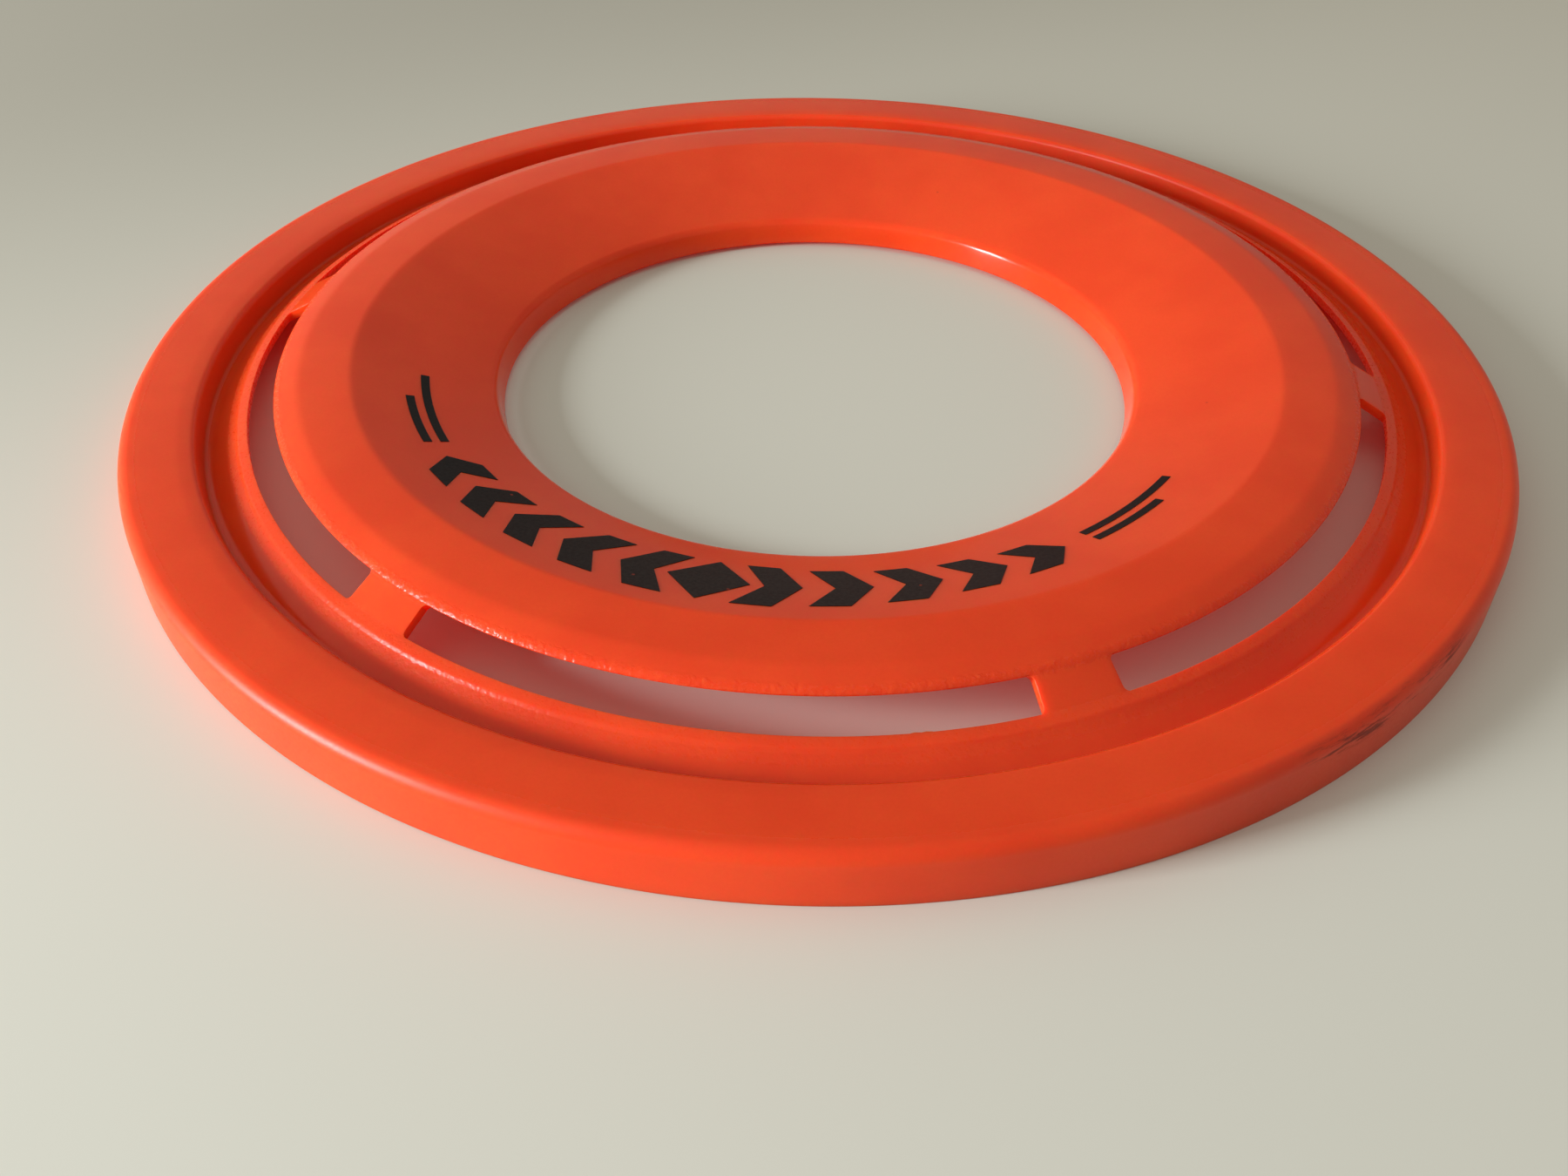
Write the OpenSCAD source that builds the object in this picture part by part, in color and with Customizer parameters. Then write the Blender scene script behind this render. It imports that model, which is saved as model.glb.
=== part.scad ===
// Flying ring: one thin-walled plastic moulding, open underneath, with an ink print on its inner field.
// Millimetres. The origin is on the ring's axis, in the plane that the skirt stands on. +Z is up.
// The section is drawn from the outside inwards, each width measured from the one before it.

/* [Overall] */
// Outer diameter of the rim
rim_d = 290; // [240:1:348]
// Wall thickness, the same all over the moulding
wall = 1.8; // [1.4:0.1:2.2]

/* [Rim] */
// Height of the flat top of the rim above the ground
rim_h = 11.2; // [9:0.1:14]
// Width of the rim, from the skirt to the wall of the groove
rim_w = 14.9; // [12:0.1:18]
// Rounding of the rim's outer top edge
rim_edge_r = 2.4; // [1.9:0.1:3]
// Width of the strip beside the groove where the rim's top starts to fall
rim_slope_w = 3.6; // [2.8:0.1:4.4]
// Fall of that strip
rim_slope_h = 0.25; // [0.15:0.05:0.35]
// Rounding where the strip starts
rim_slope_r = 10; // [5:1:14]

/* [Thumb groove] */
// Width of the groove, from its outer wall to the fold of the bead
groove_w = 7.9; // [6.6:0.1:9.5]
// Depth of the groove below the top of the rim
groove_depth = 5.4; // [4.5:0.1:6.5]
// Width of the flat on the groove's floor
groove_floor_w = 1.8; // [1.5:0.1:2.2]
// Lean of the groove's outer wall
groove_lean = 0.5; // [0.2:0.1:0.8]
// Rounding where the rim's top turns down into the groove
groove_lip_r = 1.4; // [1:0.1:1.7]
// Fillet at the foot of the groove's outer wall
groove_root_r = 0.7; // [0.4:0.1:0.8]
// Fillet where the groove's floor runs into its sloping inner side
groove_heel_r = 2.2; // [1:0.1:2.6]

/* [Bead] */
// Depth of the bead's fold below the top of the rim
bead_drop = 1.4; // [1:0.1:1.8]
// Width of the land between the bead's fold and the slots
land_w = 2.0; // [1.6:0.1:2.4]
// Rise of the land from the fold to the slots
land_rise = 0.6; // [0.3:0.1:0.8]
// Rounding of the bead's folds
bead_r = 1.2; // [0.6:0.1:1.4]
// Width of the steep face between the bead's fold and the groove's sloping side
bead_face_w = 0.6; // [0.4:0.1:0.9]
// Height of that face
bead_face_h = 0.65; // [0.5:0.05:0.9]

/* [Air slots] */
// Number of slots, and of bridges
slot_count = 6; // [4:1:8]
// Width of a slot, seen from above
slot_w = 5.8; // [4.8:0.1:7]
// Rise of the flank across the slots
flank_rise = 3.2; // [2.7:0.05:3.8]
// Width of a bridge between two slots
bridge_w = 14.2; // [10:0.1:18]
// Rounding of the slots' corners
slot_corner_r = 1.0; // [0.5:0.1:1.4]
// Thickness of the crown's edge above a slot, which the bevel under it leaves
slot_edge_t = 0.2; // [0.1:0.05:0.5]
// Turn of the first bridge from +X
bridge_turn = 51.8; // [0:0.1:60]

/* [Crown] */
// Width of the rounded nose where the crown turns down to the slots
nose_w = 0.7; // [0.6:0.1:0.9]
// Height of the nose
nose_h = 0.65; // [0.55:0.05:0.75]
// Width of the shoulder between the nose and the band
shoulder_w = 4.3; // [3.6:0.1:5.2]
// Rise of the shoulder
shoulder_rise = 1.25; // [1:0.05:1.5]
// Width of the band between the shoulder and the crest
band_w = 10.6; // [9:0.1:12.7]
// Rise of the band up to the crest
band_rise = 0.3; // [0:0.1:0.8]
// Rounding of the nose
nose_r = 2.4; // [1:0.1:2.6]
// Rounding at the foot of the nose
nose_foot_r = 0.5; // [0.3:0.1:0.8]
// Rounding of the shoulder
shoulder_r = 6.5; // [4:0.5:12]
// Rounding of the crest
crest_r = 4; // [2:0.5:6]

/* [Inner field and hand hole] */
// Width of the field that slopes down from the crest to the hole
field_w = 28.9; // [24:0.1:35]
// Drop of the field from the crest to the lip of the hole
field_drop = 9.1; // [7.5:0.1:10]
// Rounding of the lip of the hole
hole_lip_r = 2.2; // [1.2:0.1:2.6]
// Lean of the wall round the hole
hole_lean = 1.5; // [0.8:0.1:2]
// Gap between the foot of that wall and the ground
hole_foot_gap = 1.0; // [0.4:0.1:2]

/* [Print] */
// Thickness of the ink
ink_t = 0.1; // [0.08:0.01:0.12]
// Turn of the middle of the print from +X
print_turn = 258; // [180:1:360]
// Clear field between the print and the crest
print_crest_margin = 4.6; // [3:0.1:7]
// Clear field between the print and the lip of the hole
print_lip_margin = 7.6; // [5:0.1:10]
// Half length of the diamond in the middle, along the print
diamond_half = 7.5; // [5:0.5:9]
// Chevrons on each side of the diamond
chevron_count = 5; // [3:1:6]
// Thickness of a chevron's arms, along the print
chevron_arm = 6.6; // [4:0.1:7]
// Distance from one chevron to the next
chevron_pitch = 12.4; // [9:0.1:14]
// Stretch of a chevron from its tips to its point
chevron_reach = 4.6; // [3:0.1:6]
// Height that each chevron loses against the one before it
chevron_taper = 1.5; // [0:0.1:1.9]
// Clear gap between the diamond and the first chevrons
chevron_start_gap = 2.6; // [2:0.1:4]
// Width of one of the two end stripes
stripe_w = 1.7; // [1:0.1:2.2]
// Length of the longer end stripe
stripe_l = 27; // [15:0.5:30]
// Height between the two end stripes
stripe_gap = 1.6; // [1:0.1:2.5]

/* [Hidden] */

ORANGE = [0.93, 0.27, 0.12];
BLACK = [0.06, 0.06, 0.06];
BELOW = 40;       // the section is drawn on down to here, then cut off at its feet
CORNER_STEPS = 4; // chords in the rounding of a slot's corner
$fn = 180;

// Radii of the section, from the outside inwards
rim_r = rim_d / 2;
groove_wall_r = rim_r - rim_w;
bead_fold_r = groove_wall_r - groove_w;
slot_out_r = bead_fold_r - land_w;
slot_in_r = slot_out_r - slot_w;
nose_at_r = slot_in_r - nose_w;
band_out_r = nose_at_r - shoulder_w;
crest_at_r = band_out_r - band_w;
hole_lip_at_r = crest_at_r - field_w;

// Heights of the section
groove_floor_z = rim_h - groove_depth;
bead_z = rim_h - bead_drop;
slot_out_z = bead_z + land_rise;
slot_in_z = slot_out_z + flank_rise;
nose_z = slot_in_z + nose_h;
band_out_z = nose_z + shoulder_rise;
crest_z = band_out_z + band_rise;
hole_lip_z = crest_z - field_drop;

// The field as a cone, which the ink lies on
field_slope = field_drop / field_w;
function field_z(r) = hole_lip_z + (r - hole_lip_at_r) * field_slope;

// The wall round the hole leans, and goes on down at the same lean
hole_wall_slope = hole_lean / (hole_lip_z - hole_foot_gap);
hole_below_r = hole_lip_at_r - (hole_lip_z + BELOW) * hole_wall_slope;

// Corners of the visible side of the section, outside to inside: [radius, height, rounding]
SECTION = [
    [rim_r, -BELOW, 0],
    [rim_r, rim_h, rim_edge_r],
    [groove_wall_r + rim_slope_w, rim_h, rim_slope_r],
    [groove_wall_r, rim_h - rim_slope_h, groove_lip_r],
    [groove_wall_r - groove_lean, groove_floor_z, groove_root_r],
    [groove_wall_r - groove_lean - groove_floor_w, groove_floor_z, groove_heel_r],
    [bead_fold_r + bead_face_w, bead_z - bead_face_h, bead_r],
    [bead_fold_r, bead_z, bead_r],
    [slot_out_r, slot_out_z, bead_r],
    [slot_in_r, slot_in_z, nose_foot_r],
    [nose_at_r, nose_z, nose_r],
    [band_out_r, band_out_z, shoulder_r],
    [crest_at_r, crest_z, crest_r],
    [hole_lip_at_r, hole_lip_z, hole_lip_r],
    [hole_below_r, -BELOW, 0]
];

// The section's corners as drawn, and the same line set back by the wall into the plastic.
// A rounding grows by the wall where the line bends upwards, and shrinks by it where it bends downwards.
function place(c) = [c[0], c[1]];
function unit(v) = v / norm(v);
function left_of(a, b) = unit([a[1] - b[1], b[0] - a[0]]);
function before(list, i) = i == 0 ? left_of(place(list[0]), place(list[1]))
                                  : left_of(place(list[i - 1]), place(list[i]));
function after(list, i) = i == len(list) - 1 ? before(list, i)
                                             : left_of(place(list[i]), place(list[i + 1]));
function bends_down(list, i) = cross(before(list, i), after(list, i)) > 0;
function set_back(list, depth) = [
    for (i = [0 : len(list) - 1])
        let (
            n1 = before(list, i),
            n2 = after(list, i),
            q = place(list[i]) + (n1 + n2) / (1 + n1 * n2) * depth,
            r = list[i][2]
        )
        [q[0], q[1], r == 0 ? 0 : bends_down(list, i) ? max(0, r - depth) : r + depth]
];

// Where the rounding of a corner starts, ends and has its centre
function rounding_length(list, i) =
    list[i][2] * tan(acos(min(1, before(list, i) * after(list, i))) / 2);
function rounding_start(list, i) =
    place(list[i]) + unit(place(list[i - 1]) - place(list[i])) * rounding_length(list, i);
function rounding_end(list, i) =
    place(list[i]) + unit(place(list[i + 1]) - place(list[i])) * rounding_length(list, i);
function rounding_centre(list, i) =
    rounding_start(list, i) + before(list, i) * list[i][2] * (bends_down(list, i) ? 1 : -1);

// The slice of a circle that rounds one corner
module rounding(list, i) {
    centre = rounding_centre(list, i);
    a = rounding_start(list, i) - centre;
    b = rounding_end(list, i) - centre;
    translate(centre)
        intersection() {
            circle(r = list[i][2]);
            polygon([[0, 0], 2 * a, 2 * (a + b), 2 * b]);
        }
}

// Everything under a line of corners, with the corners rounded
module under(list) {
    round_ones = [for (i = [1 : len(list) - 2]) if (list[i][2] > 0) i];
    difference() {
        union() {
            polygon([
                for (i = [0 : len(list) - 1])
                    each list[i][2] == 0 ? [place(list[i])]
                                         : [rounding_start(list, i), rounding_end(list, i)]
            ]);
            for (i = round_ones) if (bends_down(list, i)) rounding(list, i);
        }
        for (i = round_ones) if (!bends_down(list, i)) rounding(list, i);
    }
}

// The wall alone: what is under the visible side, less the same set back by the wall
module wall_section() {
    difference() {
        under(SECTION);
        under(set_back(SECTION, wall));
        translate([0, -2 * BELOW]) square([rim_r + wall, 2 * BELOW]);
        square([hole_lip_at_r + 2 * wall, hole_foot_gap]);
    }
}

function polar(r, a) = r * [cos(a), sin(a)];

// One rounded corner at a slot's end on the +Y side, going outwards: edge is -1 for the corner at
// the slot's inner edge and 1 for the one at its outer edge
function slot_corner(half_angle, edge) =
    let (
        centre_r = (edge > 0 ? slot_out_r : slot_in_r) - edge * slot_corner_r,
        turn = asin(slot_corner_r / centre_r),
        direction = half_angle - turn,
        from = edge > 0 ? 90 + turn : 180,
        to = edge > 0 ? 0 : 90 + turn
    )
    [
        for (i = [0 : CORNER_STEPS])
            let (step = from + (to - from) * i / CORNER_STEPS)
            polar(centre_r, direction) + polar(slot_corner_r, direction + step)
    ];

// The line of a slot's end on the +Y side, which runs on a little past the slot's inner and outer edges
function slot_end(half_angle) =
    let (
        line = concat(slot_corner(half_angle, -1), slot_corner(half_angle, 1)),
        last = len(line) - 1
    )
    concat([2 * line[0] - line[1]], line, [2 * line[last] - line[last - 1]]);

// The slot's section: upright, but for a bevel under its inner edge, where the wall is pierced from below
module slot_section() {
    bevel_z = slot_in_z - slot_edge_t;
    polygon([
        [slot_out_r, 0],
        [slot_out_r, crest_z],
        [slot_in_r, crest_z],
        [slot_in_r, bevel_z],
        [slot_in_r - bevel_z, 0]
    ]);
}

// The tool that pierces one air slot, centred on +X: a piece of ring between two ends
module slot_tool() {
    half_pitch = 180 / slot_count;
    end = slot_end(half_pitch - asin(bridge_w / (slot_in_r + slot_out_r)));
    opposite_end = [for (i = [len(end) - 1 : -1 : 0]) [end[i][0], -end[i][1]]];
    intersection() {
        rotate([0, 0, -half_pitch])
            rotate_extrude(angle = 2 * half_pitch) slot_section();
        linear_extrude(height = crest_z)
            polygon(concat(end, [[2 * slot_out_r, 0]], opposite_end));
    }
}

module ring_moulding() {
    pitch = 360 / slot_count;
    color(ORANGE)
        rotate([0, 0, bridge_turn])
            difference() {
                rotate_extrude() wall_section();
                for (i = [0 : slot_count - 1]) rotate([0, 0, (i + 0.5) * pitch]) slot_tool();
            }
}

// Lines of the print: its edges next to the crest and the lip, and its middle line
print_out_r = crest_at_r - print_crest_margin;
print_in_r = hole_lip_at_r + print_lip_margin;
print_mid_r = (print_out_r + print_in_r) / 2;
print_half_h = (print_out_r - print_in_r) / 2;

// The turn that a length along the middle line makes
function along(length) = length / print_mid_r * 180 / PI;

// A point of the print: a length along the middle line, and a height out from it
function print_point(length, height) = polar(print_mid_r + height, along(length));

// The skin of the field that ink can cover, between two radii
module ink_skin(r_in, r_out) {
    lift = ink_t * norm([1, field_slope]);
    polygon([
        [r_in, field_z(r_in)],
        [r_out, field_z(r_out)],
        [r_out, field_z(r_out) + lift],
        [r_in, field_z(r_in) + lift]
    ]);
}

// An island of ink with the given outline, seen from above
module ink_island(outline) {
    intersection() {
        rotate_extrude() ink_skin(print_in_r - ink_t, print_out_r + ink_t);
        linear_extrude(height = crest_z + ink_t) polygon(outline);
    }
}

// A chevron whose tips start at a length along the print; it points away from the diamond
module chevron(start, half_h) {
    ink_island([
        print_point(start, -half_h),
        print_point(start + chevron_arm, -half_h),
        print_point(start + chevron_arm + chevron_reach, 0),
        print_point(start + chevron_arm, half_h),
        print_point(start, half_h),
        print_point(start + chevron_reach, 0)
    ]);
}

chevrons_start = diamond_half + chevron_start_gap - chevron_reach;
stripes_start = chevrons_start + chevron_count * chevron_pitch + chevron_reach;

// The chevrons on one side, each a little lower than the one before
module chevrons() {
    for (i = [0 : chevron_count - 1])
        chevron(chevrons_start + i * chevron_pitch, print_half_h - i * chevron_taper / 2);
}

// The two stripes at one end of the print, the outer one shorter
module stripes() {
    for (side = [-1, 1]) {
        middle_r = print_mid_r + side * (stripe_gap + stripe_w) / 2;
        length = side < 0 ? stripe_l : stripe_l * 2 / 3;
        rotate([0, 0, along(stripes_start)])
            rotate_extrude(angle = along(length))
                ink_skin(middle_r - stripe_w / 2, middle_r + stripe_w / 2);
    }
}

module print_centre_diamond() {
    color(BLACK)
        rotate([0, 0, print_turn])
            ink_island([
                print_point(-diamond_half, 0),
                print_point(0, -print_half_h),
                print_point(diamond_half, 0),
                print_point(0, print_half_h)
            ]);
}

module print_chevrons_left() {
    color(BLACK) rotate([0, 0, print_turn]) mirror([0, 1, 0]) chevrons();
}

module print_chevrons_right() {
    color(BLACK) rotate([0, 0, print_turn]) chevrons();
}

module print_stripes_left() {
    color(BLACK) rotate([0, 0, print_turn]) mirror([0, 1, 0]) stripes();
}

module print_stripes_right() {
    color(BLACK) rotate([0, 0, print_turn]) stripes();
}

ring_moulding();
print_centre_diamond();
print_chevrons_left();
print_chevrons_right();
print_stripes_left();
print_stripes_right();
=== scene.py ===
# %% [markdown]
# # A flying ring in Blender
#
# A flying ring is one thin-walled moulding: a flat rim, a thumb groove behind it, six air slots in a
# sloped flank, and a crown that falls away to the hand hole. Everything you see is the inside or the
# outside of one even wall. The only other material is ink, printed on the field round the hand hole.
#
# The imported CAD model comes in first. It fixes where everything is. The print keeps its CAD shape, and
# the moulding is built again here, because light shows every facet of a fold only a millimetre round.

# %% Load the frame
import math

import bpy
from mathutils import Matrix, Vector


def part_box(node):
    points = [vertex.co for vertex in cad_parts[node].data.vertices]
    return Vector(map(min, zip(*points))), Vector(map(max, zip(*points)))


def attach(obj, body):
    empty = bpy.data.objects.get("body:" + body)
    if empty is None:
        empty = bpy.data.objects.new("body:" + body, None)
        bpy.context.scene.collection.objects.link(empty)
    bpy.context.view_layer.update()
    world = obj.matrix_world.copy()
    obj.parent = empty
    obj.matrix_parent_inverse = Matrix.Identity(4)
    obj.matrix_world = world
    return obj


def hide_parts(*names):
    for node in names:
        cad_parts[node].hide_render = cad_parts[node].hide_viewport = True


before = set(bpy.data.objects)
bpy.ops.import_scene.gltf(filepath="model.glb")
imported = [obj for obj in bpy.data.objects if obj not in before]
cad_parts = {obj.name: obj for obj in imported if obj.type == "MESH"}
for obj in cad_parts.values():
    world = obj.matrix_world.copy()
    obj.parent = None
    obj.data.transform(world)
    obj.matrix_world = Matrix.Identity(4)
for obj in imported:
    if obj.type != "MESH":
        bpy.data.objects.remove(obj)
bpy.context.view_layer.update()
bpy.context.scene.view_settings.view_transform = "Standard"

MM = 0.001
SAME_PLACE = 1e-6  # metres: nearer than this, two places are one
print("nodes:", sorted(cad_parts))

# %% [markdown]
# ## The section
#
# A turned or moulded ring is best drawn once, as the line that its wall makes when you cut it. Each
# corner of that line has a radius from the axis, a height, and a rounding. The same line set back by the
# wall gives the underside. A rounding shrinks by the wall where the line bends down, and grows by it
# where the line bends up, so that the wall stays even all the way.

# %% Sizes of the section, in millimetres
WALL = 1.8
RIM_H = 11.2
RIM_W = 14.9
RIM_SLOPE_W, RIM_SLOPE_H = 3.6, 0.25
GROOVE_W, GROOVE_DEPTH = 7.9, 5.4
GROOVE_LEAN, GROOVE_FLOOR_W = 0.5, 1.8
BEAD_DROP = 1.4
BEAD_FACE_W, BEAD_FACE_H = 0.6, 0.65
LAND_W, LAND_RISE = 2.0, 0.6
SLOT_W, FLANK_RISE = 5.8, 3.2
NOSE_W, NOSE_H = 0.6, 0.75
SHOULDER_W, SHOULDER_RISE = 4.4, 1.15
BAND_W, BAND_RISE = 10.6, 0.3
FIELD_W, FIELD_DROP = 28.9, 9.1
HOLE_LEAN, HOLE_FOOT_GAP = 1.3, 1.0
FOOT_ROUNDING = 0.3

rim_r = round(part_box("ring_moulding")[1][0] / MM)
groove_wall_r = rim_r - RIM_W
groove_foot_r = groove_wall_r - GROOVE_LEAN
groove_floor_z = RIM_H - GROOVE_DEPTH
bead_fold_r = groove_wall_r - GROOVE_W
bead_z = RIM_H - BEAD_DROP
slot_out_r = bead_fold_r - LAND_W
slot_out_z = bead_z + LAND_RISE
slot_in_r = slot_out_r - SLOT_W
slot_in_z = slot_out_z + FLANK_RISE
nose_r = slot_in_r - NOSE_W
nose_z = slot_in_z + NOSE_H
band_out_r = nose_r - SHOULDER_W
band_out_z = nose_z + SHOULDER_RISE
crest_r = band_out_r - BAND_W
crest_z = band_out_z + BAND_RISE
hole_r = crest_r - FIELD_W
hole_lip_z = crest_z - FIELD_DROP
hole_foot_r = hole_r - HOLE_LEAN
print("rim radius:", rim_r, "hole radius:", round(hole_r, 2), "crest height:", round(crest_z, 2))

# %% Corners of the visible side, outside to inside: radius, height, rounding
TOP_SIDE = [
    (rim_r, 0, FOOT_ROUNDING),
    (rim_r, RIM_H, 2.4),
    (groove_wall_r + RIM_SLOPE_W, RIM_H, 10),
    (groove_wall_r, RIM_H - RIM_SLOPE_H, 1.4),
    (groove_foot_r, groove_floor_z, 0.7),
    (groove_foot_r - GROOVE_FLOOR_W, groove_floor_z, 2.2),
    (bead_fold_r + BEAD_FACE_W, bead_z - BEAD_FACE_H, 1.2),
    (bead_fold_r, bead_z, 1.2),
    (slot_out_r, slot_out_z, 1.2),
    (slot_in_r, slot_in_z, 0.5),
    (nose_r, nose_z, 2.4),
    (band_out_r, band_out_z, 6.5),
    (crest_r, crest_z, 4),
    (hole_r, hole_lip_z, 2.2),
    (hole_foot_r, HOLE_FOOT_GAP, FOOT_ROUNDING),
]
print("section corners:", len(TOP_SIDE))


# %% The same line set back by the wall
def left_normal(start, end):
    """The unit normal on the left of a step, which is the plastic's side."""
    step = Vector(end[:2]) - Vector(start[:2])
    return Vector((-step.y, step.x)).normalized()


def set_back(line, depth, least_rounding):
    """Each corner of the line moved into the plastic, with its rounding made to match."""
    moved = []
    for before, corner, after in zip(line, line[1:], line[2:]):
        n1, n2 = left_normal(before, corner), left_normal(corner, after)
        place = Vector(corner[:2]) + (n1 + n2) * (depth / (1 + n1.dot(n2)))
        bends_down = n1.cross(n2) > 0
        rounding = corner[2] - depth if bends_down else corner[2] + depth
        moved.append((place.x, place.y, max(rounding, least_rounding)))
    return moved


under_side = set_back(TOP_SIDE, WALL, least_rounding=0.4)
foot_inside = (rim_r - WALL, 0, FOOT_ROUNDING)
hole_foot_inside = (hole_foot_r + WALL, HOLE_FOOT_GAP, FOOT_ROUNDING)
section = TOP_SIDE + [hole_foot_inside] + under_side[::-1] + [foot_inside]
print("closed section of", len(section), "corners")

# %% [markdown]
# ## Drawing the section and spinning it
#
# By hand you would place one vertex, extrude it from corner to corner, close the line, and round each
# corner with a vertex bevel of its own width. The width is the distance from the corner to where its arc
# starts, so it follows from the rounding and from how sharply the line turns. One spin then makes the
# whole ring. The alternative, a torus pulled into shape, never gets folds as crisp as these.


# %% Helpers for selecting
def deselect_everything():
    bpy.ops.object.select_all(action="DESELECT")


def select_vertices(obj, wanted):
    """In edit mode, selects just the vertices for which wanted(place) is true."""
    bpy.ops.mesh.select_mode(type="VERT")
    bpy.ops.mesh.select_all(action="DESELECT")
    bpy.ops.object.mode_set(mode="OBJECT")
    for vertex in obj.data.vertices:
        vertex.select = wanted(vertex.co)
    bpy.ops.object.mode_set(mode="EDIT")


print("ready to select by place")


# %% Helpers for drawing a line
def one_vertex(name, place):
    """A new object with a single selected vertex, left in edit mode."""
    deselect_everything()
    bpy.ops.mesh.primitive_plane_add(size=MM)
    obj = bpy.context.object
    obj.name = obj.data.name = name
    bpy.ops.object.mode_set(mode="EDIT")
    bpy.ops.mesh.select_all(action="SELECT")
    bpy.ops.mesh.merge(type="CENTER")
    bpy.ops.transform.translate(value=place)
    return obj


def in_section_plane(corner):
    """A section corner as a place in the plane above +X, in metres."""
    return Vector((corner[0] * MM, 0, corner[1] * MM))


def draw_closed_line(name, corners):
    """A closed line through the corners in the section plane, left in edit mode."""
    obj = one_vertex(name, in_section_plane(corners[0]))
    for here, there in zip(corners, corners[1:]):
        step = in_section_plane(there) - in_section_plane(here)
        bpy.ops.mesh.extrude_vertices_move(TRANSFORM_OT_translate={"value": step})
    ends = [in_section_plane(corners[0]), in_section_plane(corners[-1])]
    select_vertices(obj, lambda place: any((place - end).length < SAME_PLACE for end in ends))
    bpy.ops.mesh.edge_face_add()
    return obj


print("ready to draw")

# %% Draw the closed line
shell = draw_closed_line("ring_shell", section)
bpy.ops.object.mode_set(mode="OBJECT")
print("line:", len(shell.data.vertices), "vertices,", len(shell.data.edges), "edges")


# %% Round its corners
CHORD_TURN = math.radians(9)
CHORD_LENGTH = 0.35


def arc_steps(turn, rounding):
    """Enough chords for a smooth arc: more for a sharper turn or a bigger rounding."""
    return max(2, round(turn / CHORD_TURN), round(rounding * turn / CHORD_LENGTH))


bpy.ops.object.mode_set(mode="EDIT")
for i, corner in enumerate(section):
    before, after = section[i - 1], section[(i + 1) % len(section)]
    turn = left_normal(before, corner).angle(left_normal(corner, after))
    place = in_section_plane(corner)
    select_vertices(shell, lambda vertex: (vertex - place).length < SAME_PLACE)
    bpy.ops.mesh.bevel(
        offset=corner[2] * math.tan(turn / 2) * MM,
        segments=arc_steps(turn, corner[2]),
        profile=0.5,
        affect="VERTICES",
        clamp_overlap=False,
    )
bpy.ops.object.mode_set(mode="OBJECT")
print("rounded line:", len(shell.data.vertices), "vertices")

# %% Spin it round the axis
SPIN_STEPS = 420

bpy.ops.object.mode_set(mode="EDIT")
bpy.ops.mesh.select_all(action="SELECT")
bpy.ops.mesh.spin(steps=SPIN_STEPS, angle=2 * math.pi, center=(0, 0, 0), axis=(0, 0, 1))
bpy.ops.mesh.select_all(action="SELECT")
bpy.ops.mesh.remove_doubles(threshold=SAME_PLACE)
bpy.ops.mesh.normals_make_consistent(inside=False)
bpy.ops.object.mode_set(mode="OBJECT")
print("spun shell:", len(shell.data.polygons), "faces")

# %% [markdown]
# ## The air slots
#
# The slots are pierced straight down, because the mould opens along the axis. A cutter for one slot is an
# upright section spun through the slot's angle, with its upright edges bevelled for the slot's corners.
# Below the crown's edge the section widens inwards, so that the edge runs out thin above the slot. Five
# copies turn round the axis, and one Boolean takes all six out of the shell. Cutting the wall after it
# has its thickness keeps the cut faces upright, as a mould leaves them.

# %% Make the cutters
SLOT_COUNT = 6
BRIDGE_W = 14.2
BRIDGE_TURN = 51.8  # degrees from +X to the middle of a bridge
SLOT_CORNER_R = 1.0
SLOT_EDGE_T = 0.2
CUTTER_TOP = 20
CUTTER_STEPS = 62

slot_mid_r = (slot_in_r + slot_out_r) / 2
pitch = 2 * math.pi / SLOT_COUNT
half_bridge = math.asin(BRIDGE_W / 2 / slot_mid_r)
slot_angle = pitch - 2 * half_bridge

bevel_z = slot_in_z - SLOT_EDGE_T
cutter_section = [
    (slot_out_r, 0),
    (slot_out_r, CUTTER_TOP),
    (slot_in_r, CUTTER_TOP),
    (slot_in_r, bevel_z),
    (slot_in_r - bevel_z, 0),
]
cutter = draw_closed_line("slot_cutter", cutter_section)
bpy.ops.mesh.select_all(action="SELECT")
bpy.ops.mesh.spin(steps=CUTTER_STEPS, angle=slot_angle, center=(0, 0, 0), axis=(0, 0, 1))
bpy.ops.mesh.select_all(action="SELECT")
bpy.ops.mesh.fill_holes(sides=len(cutter_section))
bpy.ops.mesh.remove_doubles(threshold=SAME_PLACE)
bpy.ops.mesh.normals_make_consistent(inside=False)
bpy.ops.object.mode_set(mode="OBJECT")

# The spin starts at +X and runs to one side or the other. Each copy is turned so that its slot starts
# half a bridge past the middle of one.
far_y = max((vertex.co.y for vertex in cutter.data.vertices), key=abs)
first_turn = math.radians(BRIDGE_TURN) + (half_bridge if far_y > 0 else half_bridge + slot_angle)
print("cutter:", len(cutter.data.polygons), "faces, spans", round(math.degrees(slot_angle), 2), "degrees")

# %% Round the cutter's upright edges
SAME_ANGLE = 1e-4
LEAST_RISE = 0.1 * MM


def select_edges(obj, wanted):
    """In edit mode, selects just the edges for which wanted(one end, other end) is true."""
    bpy.ops.mesh.select_mode(type="EDGE")
    bpy.ops.mesh.select_all(action="DESELECT")
    bpy.ops.object.mode_set(mode="OBJECT")
    places = [vertex.co for vertex in obj.data.vertices]
    for edge in obj.data.edges:
        a, b = edge.vertices
        edge.select = wanted(places[a], places[b])
    print("selected edges:", sum(edge.select for edge in obj.data.edges))
    bpy.ops.object.mode_set(mode="EDIT")


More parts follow.
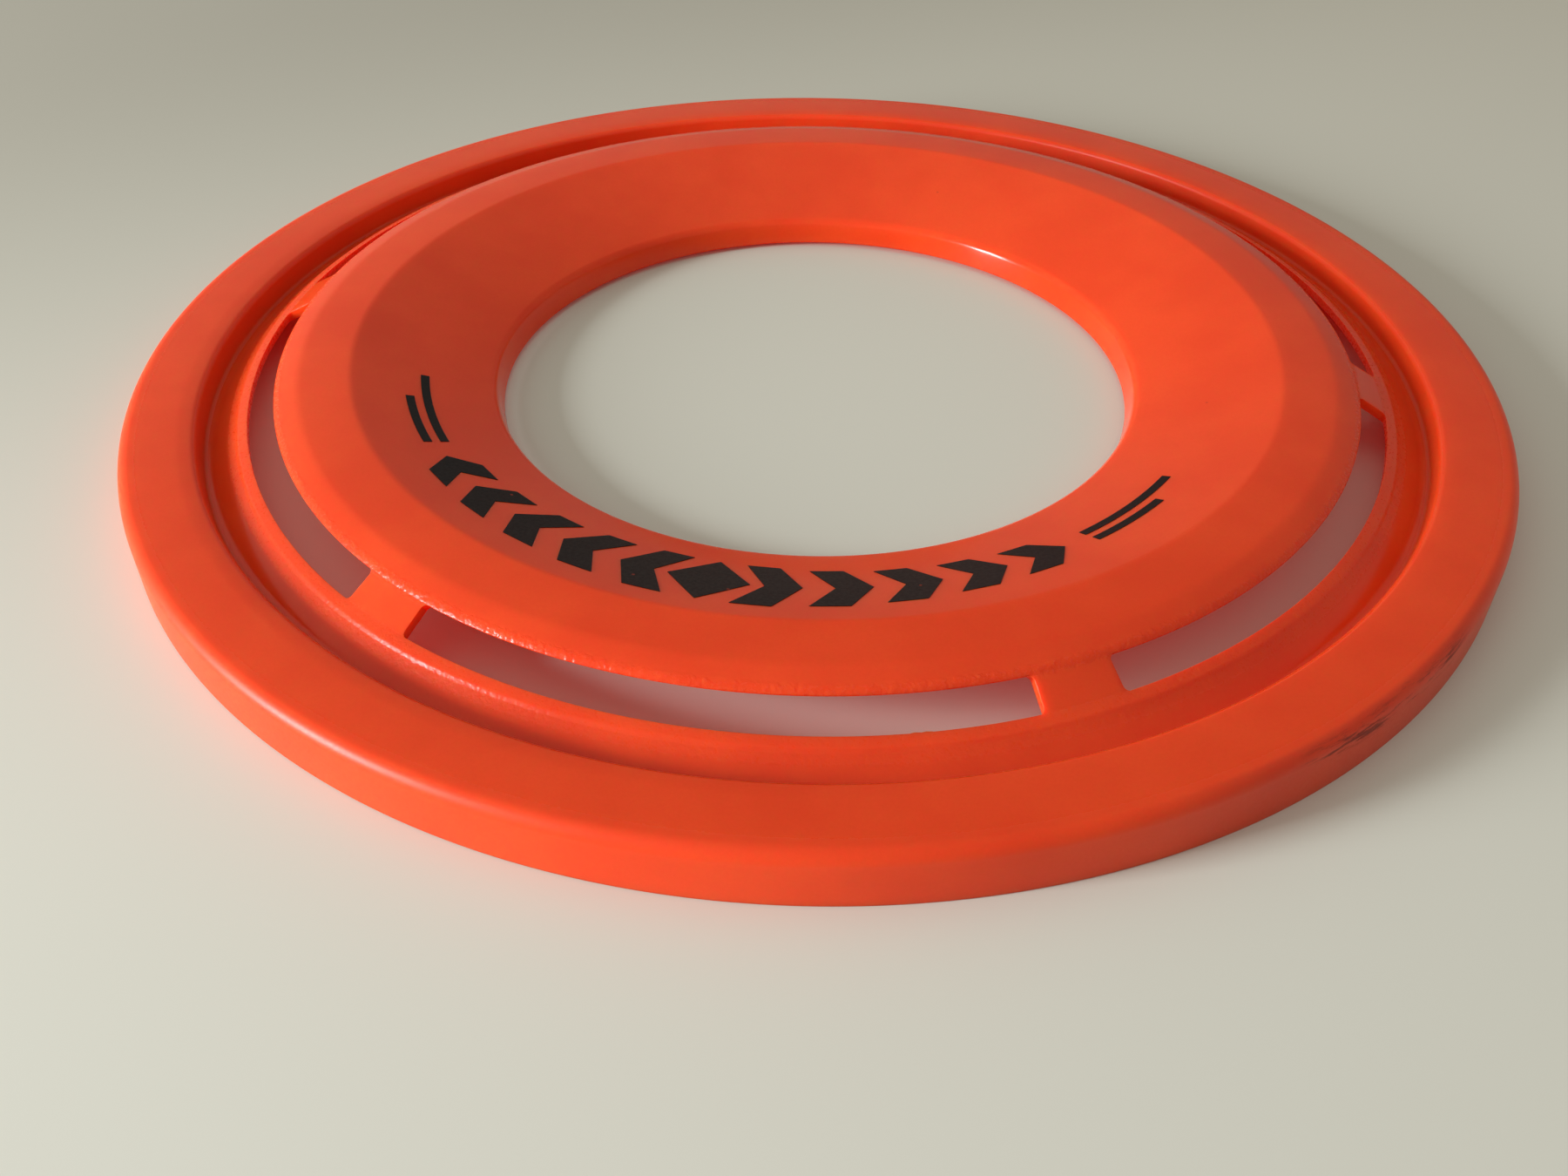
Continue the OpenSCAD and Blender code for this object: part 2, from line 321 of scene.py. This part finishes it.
def is_upright_end_edge(a, b):
    """True for the edges that run up the corners of the cutter's two ends."""
    angles = [abs(math.atan2(place.y, place.x)) for place in (a, b)]
    in_one_plane = abs(angles[0] - angles[1]) < SAME_ANGLE
    at_an_end = min(angles[0], abs(angles[0] - slot_angle)) < SAME_ANGLE
    return in_one_plane and at_an_end and abs(a.z - b.z) > LEAST_RISE


bpy.ops.object.mode_set(mode="EDIT")
select_edges(cutter, is_upright_end_edge)
bpy.ops.mesh.bevel(offset=SLOT_CORNER_R * MM, segments=6, profile=0.5, affect="EDGES")
bpy.ops.object.mode_set(mode="OBJECT")
print("cutter with rounded corners:", len(cutter.data.polygons), "faces")

# %% Copy it round the axis and cut
cutters = [cutter]
for _ in range(SLOT_COUNT - 1):
    copy = cutter.copy()
    copy.data = cutter.data.copy()
    bpy.context.collection.objects.link(copy)
    cutters.append(copy)
for i, tool in enumerate(cutters):
    deselect_everything()
    tool.select_set(True)
    bpy.context.view_layer.objects.active = tool
    tool.rotation_euler.z = first_turn + i * pitch
    bpy.ops.object.transform_apply(location=False, rotation=True, scale=False)

deselect_everything()
for tool in cutters:
    tool.select_set(True)
bpy.context.view_layer.objects.active = cutter
bpy.ops.object.join()

deselect_everything()
shell.select_set(True)
bpy.context.view_layer.objects.active = shell
cut = shell.modifiers.new("pierce the slots", "BOOLEAN")
cut.operation = "DIFFERENCE"
cut.solver = "EXACT"
cut.object = cutter
bpy.ops.object.modifier_apply(modifier=cut.name)
bpy.data.objects.remove(cutter)
print("pierced shell:", len(shell.data.polygons), "faces")

# %% [markdown]
# ## Softening the cut edges
#
# No moulded edge is knife sharp, and a sharp one catches no light. The edges that the cut made are found
# by their angle, kept only where the slots are, and given a narrow bevel. The folds of the section stay
# as they are, because their roundings were drawn. Smooth shading by angle then joins the facets.
#
# The Boolean leaves some points closer together than the bevel can take, so they are merged first. It
# also numbers its points differently in each run, and what merges with what depends on the numbers. So
# the mesh is first sorted by its distance from the 3D cursor, and then every run ends the same.

# %% Sort the cut mesh and merge its slivers
SLIVER = 0.02 * MM
SORT_FROM = (0.31, 0.17, -0.05)  # metres: off the axis, so that few points are equally far from it

bpy.context.scene.cursor.location = SORT_FROM
bpy.ops.object.mode_set(mode="EDIT")
bpy.ops.mesh.select_mode(type="VERT")
bpy.ops.mesh.select_all(action="SELECT")
bpy.ops.mesh.sort_elements(type="CURSOR_DISTANCE", elements={"VERT", "EDGE", "FACE"})
bpy.ops.mesh.remove_doubles(threshold=SLIVER)
bpy.ops.object.mode_set(mode="OBJECT")
bpy.context.scene.cursor.location = (0, 0, 0)
print("merged shell:", len(shell.data.vertices), "vertices")

# %% Bevel the slots' edges
SLOT_EDGE_ROUNDING = 0.1
SHARP = math.radians(38)
CUT_REACH_IN, CUT_REACH_OUT = 1.8, 0.3


def is_in_the_flank(a, b):
    """True for an edge that lies between the crown's edge and the bead."""
    middle_r = ((a + b) / 2).xy.length / MM
    return slot_in_r - CUT_REACH_IN < middle_r < slot_out_r + CUT_REACH_OUT


bpy.ops.object.mode_set(mode="EDIT")
bpy.ops.mesh.select_mode(type="EDGE")
bpy.ops.mesh.select_all(action="DESELECT")
bpy.ops.mesh.edges_select_sharp(sharpness=SHARP)
bpy.ops.object.mode_set(mode="OBJECT")
sharp_edges = {edge.index for edge in shell.data.edges if edge.select}
places = [vertex.co.copy() for vertex in shell.data.vertices]
bpy.ops.object.mode_set(mode="EDIT")
bpy.ops.mesh.select_all(action="DESELECT")
bpy.ops.object.mode_set(mode="OBJECT")
for index in sharp_edges:
    edge = shell.data.edges[index]
    edge.select = is_in_the_flank(*(places[i] for i in edge.vertices))
print("cut edges:", sum(edge.select for edge in shell.data.edges), "of", len(sharp_edges), "sharp ones")
bpy.ops.object.mode_set(mode="EDIT")
bpy.ops.mesh.bevel(offset=SLOT_EDGE_ROUNDING * MM, segments=3, profile=0.5, affect="EDGES")
bpy.ops.object.mode_set(mode="OBJECT")
bpy.ops.object.shade_smooth_by_angle(angle=SHARP)
print("finished shell:", len(shell.data.polygons), "faces")

# %% Hand it to the frame
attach(shell, "root")
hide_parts("ring_moulding")
print("handed over:", shell.name)

# %% [markdown]
# ## Materials
#
# Four things make moulded plastic look moulded: a colour that is never quite even, a little light that
# soaks in, a skin with a fine grain in its gloss, and the marks of use. Effects that both the plastic and
# the ink show are node groups, built once. The patterns read Object coordinates, which here are the
# ring's own metres, so a mark stays where it is on the ring from whichever side you look.


# %% Colours
def srgb(red, green, blue):
    """A colour as a picture editor shows it, 0 to 255, turned into the linear values that nodes use."""
    linear = []
    for value in (red / 255, green / 255, blue / 255):
        linear.append(value / 12.92 if value <= 0.04045 else ((value + 0.055) / 1.055) ** 2.4)
    return (*linear, 1.0)


print("a middle grey in linear values:", round(srgb(128, 128, 128)[0], 3))


# %% A helper for nodes
class Nodes:
    """A short way to add nodes to one tree and join them up."""

    def __init__(self, tree):
        self.tree = tree

    def add(self, kind, inputs=None, **settings):
        """Adds a node, sets its settings, and sets or links its inputs."""
        node = self.tree.nodes.new(kind)
        for name, value in settings.items():
            setattr(node, name, value)
        for name, value in (inputs or {}).items():
            if isinstance(value, bpy.types.NodeSocket):
                self.tree.links.new(value, node.inputs[name])
            else:
                node.inputs[name].default_value = value
        return node

    def math(self, operation, a, b=0.0):
        """One step of arithmetic."""
        return self.add("ShaderNodeMath", {0: a, 1: b}, operation=operation).outputs[0]

    def ramp(self, value, low, high, to_low=0.0, to_high=1.0):
        """Maps low..high to to_low..to_high with soft ends."""
        inputs = {"Value": value, 1: low, 2: high, 3: to_low, 4: to_high}
        node = self.add("ShaderNodeMapRange", inputs, interpolation_type="SMOOTHSTEP")
        return node.outputs["Result"]

    def noise(self, vector, scale, detail=2.0, roughness=0.5):
        """A cloudy pattern from 0 to 1."""
        inputs = {"Vector": vector, "Scale": scale, "Detail": detail, "Roughness": roughness}
        return self.add("ShaderNodeTexNoise", inputs).outputs["Fac"]

    def product(self, *values):
        """All the values multiplied."""
        result = values[0]
        for value in values[1:]:
            result = self.math("MULTIPLY", result, value)
        return result

    def near(self, value, middle, inside, outside):
        """1 where the value is nearer to the middle than inside, 0 past outside, soft between the two."""
        distance = self.math("ABSOLUTE", self.math("SUBTRACT", value, middle))
        return self.ramp(distance, inside, outside, 1.0, 0.0)

    def mix(self, factor, a, b):
        """Colour a where the factor is 0, colour b where it is 1."""
        node = self.add("ShaderNodeMix", {"Factor": factor, 6: a, 7: b}, data_type="RGBA")
        return node.outputs[2]


print("ready to add nodes")

# %% Helpers for groups and materials
FLOAT, VECTOR = "NodeSocketFloat", "NodeSocketVector"


def new_group(name, inputs, outputs):
    """An empty shader group with float or vector sockets, its Nodes helper, its input and output nodes."""
    group = bpy.data.node_groups.new(name, "ShaderNodeTree")
    for label, kind, default in inputs:
        socket = group.interface.new_socket(label, in_out="INPUT", socket_type=kind)
        if default is not None:
            socket.default_value = default
    for label, kind in outputs:
        group.interface.new_socket(label, in_out="OUTPUT", socket_type=kind)
    nodes = Nodes(group)
    source = nodes.add("NodeGroupInput")
    sink = nodes.add("NodeGroupOutput")
    return group, nodes, source, sink


def new_material(name):
    """A material with its Nodes helper, its Principled shader and the Object coordinates."""
    material = bpy.data.materials.new(name)
    material.use_nodes = True
    nodes = Nodes(material.node_tree)
    shader = material.node_tree.nodes["Principled BSDF"]
    coordinates = nodes.add("ShaderNodeTexCoord").outputs["Object"]
    return material, nodes, shader, coordinates


print("ready to make groups and materials")

# %% [markdown]
# ### Where on the ring a point is
#
# The scuffed stretch of rim, the painted shade in the groove's corner and the wear of each fold are placed
# by their angle round the axis, their distance from it and their height. This group turns Object
# coordinates into those three, in degrees and millimetres.

# %% Group: ring place
ring_place, n, source, sink = new_group(
    "ring place", [("Vector", VECTOR, None)], [("Radius", FLOAT), ("Angle", FLOAT), ("Height", FLOAT)]
)
split = n.add("ShaderNodeSeparateXYZ", {0: source.outputs["Vector"]})
x, y, z = split.outputs
squares = n.math("ADD", n.math("MULTIPLY", x, x), n.math("MULTIPLY", y, y))
radius = n.math("DIVIDE", n.math("SQRT", squares), MM)
angle = n.math("DEGREES", n.math("ARCTAN2", y, x))
n.tree.links.new(radius, sink.inputs["Radius"])
n.tree.links.new(angle, sink.inputs["Angle"])
n.tree.links.new(n.math("DIVIDE", z, MM), sink.inputs["Height"])
print("group:", ring_place.name)

# %% [markdown]
# ### The moulded skin
#
# A polished mould still leaves a grain finer than a millimetre and long, shallow waves where the plastic
# shrank. The group adds both up as a height for a Bump node, and gives the grain by itself too, because a
# rougher spot is also a duller one.

# %% Group: moulded skin
GRAIN_HEIGHT = 0.005 * MM
WAVE_HEIGHT = 0.05 * MM

moulded_skin, n, source, sink = new_group(
    "moulded skin",
    [("Vector", VECTOR, None), ("Grain", FLOAT, 1.0), ("Waves", FLOAT, 1.0)],
    [("Height", FLOAT), ("Grain", FLOAT)],
)
vector = source.outputs["Vector"]
grain = n.noise(vector, scale=1600.0, detail=3.0, roughness=0.6)
waves = n.noise(vector, scale=70.0, detail=1.0)
grain_height = n.product(grain, source.outputs["Grain"], GRAIN_HEIGHT)
wave_height = n.product(waves, source.outputs["Waves"], WAVE_HEIGHT)
n.tree.links.new(n.math("ADD", grain_height, wave_height), sink.inputs["Height"])
n.tree.links.new(grain, sink.inputs["Grain"])
print("group:", moulded_skin.name)

# %% [markdown]
# ### Specks
#
# A ring that is thrown on grass and gravel picks up specks of dirt and small nicks, and its print loses
# small specks. All of them are the middles of scattered cells, and only a share of the cells has one.

# %% Group: specks
specks, n, source, sink = new_group(
    "specks",
    [("Vector", VECTOR, None), ("Scale", FLOAT, 160.0), ("Share", FLOAT, 0.1), ("Size", FLOAT, 0.12)],
    [("Mask", FLOAT)],
)
cells = n.add(
    "ShaderNodeTexVoronoi",
    {"Vector": source.outputs["Vector"], "Scale": source.outputs["Scale"], "Randomness": 1.0},
)
cell_draw = n.add("ShaderNodeSeparateColor", {0: cells.outputs["Color"]}).outputs[0]
has_speck = n.math("LESS_THAN", cell_draw, source.outputs["Share"])
size_draw = n.math("DIVIDE", cell_draw, source.outputs["Share"])
speck_size = n.math("MULTIPLY", source.outputs["Size"], size_draw)
edge_inside = n.math("MULTIPLY", speck_size, 0.6)
dot = n.ramp(cells.outputs["Distance"], edge_inside, speck_size, 1.0, 0.0)
n.tree.links.new(n.math("MULTIPLY", dot, has_speck), sink.inputs["Mask"])
print("group:", specks.name)

# %% [markdown]
# ### Orange plastic: its colour
#
# The plastic is a strong orange red. Two close oranges, mixed by a soft cloud, keep a big plain face from
# looking flat, and a darker red in the grain gives it depth close up. Specks of dirt lie all over it.

# %% Orange plastic: base colour
FINE_GRAIN = 0.12

plastic, n, shader, coordinates = new_material("orange_plastic")
skin = n.add("ShaderNodeGroup", {"Vector": coordinates}, node_tree=moulded_skin)
cloud = n.ramp(n.noise(coordinates, scale=45.0, detail=3.0), 0.3, 0.7)
colour = n.mix(cloud, srgb(219, 66, 21), srgb(225, 73, 25))
fine = n.product(n.ramp(skin.outputs["Grain"], 0.3, 0.7), FINE_GRAIN)
colour = n.mix(fine, colour, srgb(206, 51, 14))
print("material:", plastic.name)

# %% [markdown]
# ### The scuffed stretch of rim
#
# One stretch of the skirt has been dragged over something hard. It has dark streaks along the rim, pale
# nicks between them, and a wider veil of grime. Each mark is a product of masks: how far along the rim it
# lies, how high up the skirt, and only on the outside. The streaks are a noise drawn out along the rim.

# %% Orange plastic: where the scuffed stretch is
SCUFF_TURN = -49.0
SCUFF_FULL, SCUFF_END = 6.0, 11.0  # degrees to each side
VEIL_FULL, VEIL_END = 10.0, 24.0
SCUFF_HEIGHT = 8.8

place = n.add("ShaderNodeGroup", {"Vector": coordinates}, node_tree=ring_place)
radius, turn, height = place.outputs
stretch = n.near(turn, SCUFF_TURN, SCUFF_FULL, SCUFF_END)
wide_stretch = n.near(turn, SCUFF_TURN, VEIL_FULL, VEIL_END)
outside = n.ramp(radius, rim_r - 2.8, rim_r - 1.4)
high_up = n.near(height, SCUFF_HEIGHT, 0.8, 2.8)
print("scuffed from", SCUFF_TURN - SCUFF_END, "to", SCUFF_TURN + SCUFF_END, "degrees")

# %% Orange plastic: dark streaks, grime, nicks and dirt
SKIRT_ARC = math.radians(rim_r)  # millimetres of rim to one degree
STREAKS_ALONG, STREAKS_UP = 0.07, 0.75  # patterns to a millimetre
SHIFT_ALONG, SHIFT_UP = 4.5, 0.3  # degrees and millimetres, which bring the marks to their place
VEIL, STREAK, NICK, DIRT = 0.22, 0.75, 0.7, 0.3  # how much each kind of mark hides the orange

along_rim = n.product(n.math("ADD", turn, SHIFT_ALONG), SKIRT_ARC * STREAKS_ALONG)
up_rim = n.product(n.math("SUBTRACT", height, SHIFT_UP), STREAKS_UP)
streaks = n.add("ShaderNodeCombineXYZ", {0: along_rim, 1: up_rim}).outputs[0]
streaks = n.ramp(n.noise(streaks, scale=1.0, detail=5.0, roughness=0.75), 0.50, 0.62)
scuff = n.product(stretch, outside, high_up, streaks)
colour = n.mix(n.product(wide_stretch, outside, VEIL), colour, srgb(120, 40, 40))
colour = n.mix(n.product(scuff, STREAK), colour, srgb(62, 22, 24))

inputs = {"Vector": coordinates, "Scale": 330.0, "Share": 0.1, "Size": 0.2}
nicks = n.add("ShaderNodeGroup", inputs, node_tree=specks).outputs["Mask"]
colour = n.mix(n.product(stretch, high_up, nicks, outside, NICK), colour, srgb(236, 170, 150))

inputs = {"Vector": coordinates, "Share": 0.03, "Size": 0.10}
dirt = n.add("ShaderNodeGroup", inputs, node_tree=specks).outputs["Mask"]
colour = n.mix(n.product(dirt, DIRT), colour, srgb(110, 34, 24))
print("streaks to a degree:", round(SKIRT_ARC * STREAKS_ALONG, 2))

# %% [markdown]
# ### Gloss and wear, place by place
#
# The faces between the folds are glossy, as the mould left them. The folds are duller, because they touch
# ground and hands: the outer fold of the rim most, the bead and the crown's edge less. So the roughness
# follows the distance from the axis. The crown's edge and the bead are also rubbed ragged, which breaks
# up their highlights, and a fine noise as bump does that. The corner of the groove is painted a deeper
# red there as painted shade, and is made a little rougher.

# %% Orange plastic: painted shade in the groove, dull folds
BEAD_WEAR, CROWN_EDGE_WEAR = 0.5, 0.4  # against 1 on the rim's outer fold
WORN_ROUGHNESS, SCUFF_AND_CORNER_ROUGHNESS = 0.24, 0.25
CORNER_SHADE = 0.1

# Painted shade: a narrow band at the foot of the groove is mixed towards a deep red, where shade gathers
# in the corner.
corner = n.near(radius, groove_foot_r + 0.1, 0.3, 1.3)
colour = n.mix(n.product(corner, CORNER_SHADE), colour, srgb(160, 24, 8))

rim_fold = n.ramp(radius, rim_r - 4.5, rim_r - 2.5)
bead = n.near(radius, bead_fold_r, 1.8, 3.0)
crown_edge = n.near(radius, slot_in_r - 0.5, 0.6, 1.4)
worn = n.math("MAXIMUM", n.product(bead, BEAD_WEAR), n.product(crown_edge, CROWN_EDGE_WEAR))
worn = n.math("MAXIMUM", rim_fold, worn)
roughness = n.ramp(skin.outputs["Grain"], 0.2, 0.8, 0.14, 0.2)
roughness = n.math("ADD", roughness, n.product(worn, WORN_ROUGHNESS))
roughness = n.math("ADD", roughness, n.product(n.math("MAXIMUM", scuff, corner), SCUFF_AND_CORNER_ROUGHNESS))
print("worn folds at radius:", rim_r, round(bead_fold_r, 1), round(slot_in_r, 1))

# %% Orange plastic: ragged edges
RAGGED_HEIGHT = 0.17 * MM
BEAD_RAGGEDNESS = 0.4

rubbed = n.math("ADD", crown_edge, n.product(bead, BEAD_RAGGEDNESS))
ragged = n.ramp(n.noise(coordinates, scale=800.0, detail=2.0), 0.32, 0.68, -0.5, 0.5)
ragged = n.product(ragged, rubbed, RAGGED_HEIGHT)
bumps = n.math("ADD", skin.outputs["Height"], ragged)
bump = n.add("ShaderNodeBump", {"Height": bumps, "Distance": 1.0, "Strength": 0.5})
print("ragged by up to", round(RAGGED_HEIGHT / 2 / MM, 3), "mm")

# %% [markdown]
# ### Light in the plastic
#
# The plastic lets a little light in, red furthest, so thin edges and folds glow and hollows turn a deep
# red. Subsurface at a scale of a few millimetres does that. The wall is also thin enough for light to
# come out below, where it tints the floor under the ring. So the faces that look down are partly
# Translucent, and every face is, seen from inside the plastic, to let the light on top reach them.

# %% Orange plastic: the shader
n.tree.links.new(colour, shader.inputs["Base Color"])
n.tree.links.new(roughness, shader.inputs["Roughness"])
n.tree.links.new(bump.outputs["Normal"], shader.inputs["Normal"])
shader.inputs["IOR"].default_value = 1.5
shader.inputs["Specular IOR Level"].default_value = 0.27
shader.inputs["Subsurface Weight"].default_value = 1.0
shader.inputs["Subsurface Radius"].default_value = (1.0, 0.12, 0.05)
shader.inputs["Subsurface Scale"].default_value = 3.0 * MM

# %% Orange plastic: light that comes out below
LOOKS_DOWN = -0.15
SHARE_BELOW = 0.5

backfacing = n.add("ShaderNodeNewGeometry").outputs["Backfacing"]
normal = n.add("ShaderNodeTexCoord").outputs["Normal"]
up = n.add("ShaderNodeSeparateXYZ", {0: normal}).outputs[2]
share = n.math("MAXIMUM", backfacing, n.product(n.math("LESS_THAN", up, LOOKS_DOWN), SHARE_BELOW))
let_through = n.add("ShaderNodeBsdfTranslucent", {"Color": srgb(246, 58, 14)})
both = n.add("ShaderNodeMixShader", {0: share, 1: shader.outputs[0], 2: let_through.outputs[0]})
n.tree.links.new(both.outputs[0], n.tree.nodes["Material Output"].inputs["Surface"])
shell.data.materials.clear()
shell.data.materials.append(plastic)
print("ring shell's material:", shell.data.materials[0].name)

# %% [markdown]
# ### Black ink
#
# Screen ink lies as a thin even film. It is duller than the plastic, takes on the same waves, and has
# lost a few specks, where the orange shows through again.

# %% Material: black ink
ink, n, shader, coordinates = new_material("black_ink")
skin = n.add("ShaderNodeGroup", {"Vector": coordinates, "Grain": 0.8}, node_tree=moulded_skin)
inputs = {"Vector": coordinates, "Scale": 420.0, "Share": 0.10, "Size": 0.2}
lost = n.add("ShaderNodeGroup", inputs, node_tree=specks).outputs["Mask"]
tone = n.mix(n.noise(coordinates, scale=120.0, detail=2.0), srgb(12, 10, 10), srgb(20, 16, 16))
colour = n.mix(n.product(lost, 0.5), tone, srgb(170, 60, 38))
roughness = n.ramp(skin.outputs["Grain"], 0.2, 0.8, 0.36, 0.5)
bump = n.add("ShaderNodeBump", {"Height": skin.outputs["Height"], "Distance": 1.0, "Strength": 0.5})
n.tree.links.new(colour, shader.inputs["Base Color"])
n.tree.links.new(roughness, shader.inputs["Roughness"])
n.tree.links.new(bump.outputs["Normal"], shader.inputs["Normal"])
shader.inputs["Specular IOR Level"].default_value = 0.14
for name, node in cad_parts.items():
    if name.startswith("print_"):
        node.data.materials.clear()
        node.data.materials.append(ink)
print("material:", ink.name)

# %% [markdown]
# ## Floor, light and camera
#
# The ring lies on a plain pale table. Painted shade darkens its colour a little towards the back and the
# far left corner.
# One large soft lamp stands in for a window, low on the left and slightly cool. The world fills the
# shadows with a warmer light that fades away from the window and towards the back of the room. The camera
# stands close by, about thirty degrees above the table, so the near rim looks wider than the far one.

# %% Floor
FLOOR_SIZE = 6.0

deselect_everything()
bpy.ops.mesh.primitive_plane_add(size=FLOOR_SIZE, location=(0, 0, 0))
floor = bpy.context.object
floor.name = "floor"
floor_with_painted_shade, n, shader, coordinates = new_material("pale_floor")
across, along, _ = n.add("ShaderNodeSeparateXYZ", {0: coordinates}).outputs
# Painted shade: the table's colour darkens towards the back, and more towards the far left corner, where
# less light reaches.
paint_with_shade = n.mix(n.ramp(along, -0.25, 0.55), srgb(211, 212, 202), srgb(190, 188, 174))
shade_to_the_corner = n.ramp(n.math("SUBTRACT", along, across), -0.03, 0.46)
paint_with_shade = n.mix(shade_to_the_corner, paint_with_shade, srgb(170, 168, 156))
n.tree.links.new(paint_with_shade, shader.inputs["Base Color"])
shader.inputs["Roughness"].default_value = 0.7
shader.inputs["Specular IOR Level"].default_value = 0.2
floor.data.materials.append(floor_with_painted_shade)
print("floor:", floor.name)

# %% Window light
def soft_lamp(name, turn, rise, distance, size, power, colour):
    """A lamp of size (width, height), turned from +X and raised by so many degrees, aimed at the ring."""
    light = bpy.data.lights.new(name, "AREA")
    light.shape = "RECTANGLE"
    light.size, light.size_y = size
    light.energy = power
    light.color = colour
    lamp = bpy.data.objects.new(name, light)
    turn, rise = math.radians(turn), math.radians(rise)
    towards = Vector((math.cos(turn) * math.cos(rise), math.sin(turn) * math.cos(rise), math.sin(rise)))
    lamp.location = towards * distance
    lamp.rotation_euler = (-towards).to_track_quat("-Z", "Y").to_euler()
    bpy.context.collection.objects.link(lamp)
    return lamp


window = soft_lamp(
    "window", turn=202, rise=14.0, distance=1.3, size=(0.28, 0.52), power=27.6, colour=(0.94, 0.98, 1.0)
)
print("lamp:", window.name)

# %% World
WINDOW_SIDE, FAR_SIDE = 0.76, 0.38
BACK_OF_ROOM = 0.6

world = bpy.data.worlds.new("room")
bpy.context.scene.world = world
world.use_nodes = True
n = Nodes(world.node_tree)
sky = world.node_tree.nodes["Background"]
sky.inputs["Color"].default_value = (1.0, 0.93, 0.83, 1.0)
direction = n.add("ShaderNodeTexCoord").outputs["Generated"]
to_the_right, to_the_back, _ = n.add("ShaderNodeSeparateXYZ", {0: direction}).outputs
across_the_room = n.ramp(to_the_right, -1.0, 1.0, WINDOW_SIDE, FAR_SIDE)
into_the_room = n.ramp(to_the_back, 0.25, 0.95, 1.0, BACK_OF_ROOM)
n.tree.links.new(n.product(across_the_room, into_the_room), sky.inputs["Strength"])
print("world:", world.name)

# %% Camera
camera_data = bpy.data.cameras.new("camera")
camera_data.sensor_width = 36.0
camera_data.lens = 32.66
camera_data.clip_start = 0.01
camera = bpy.data.objects.new("camera", camera_data)
camera.location = (0.0, -275.8 * MM, 169.7 * MM)
camera.rotation_euler = [math.radians(angle) for angle in (50.254, -0.214, 1.535)]
bpy.context.collection.objects.link(camera)
bpy.context.scene.camera = camera
print("camera at", [round(v, 3) for v in camera.location])
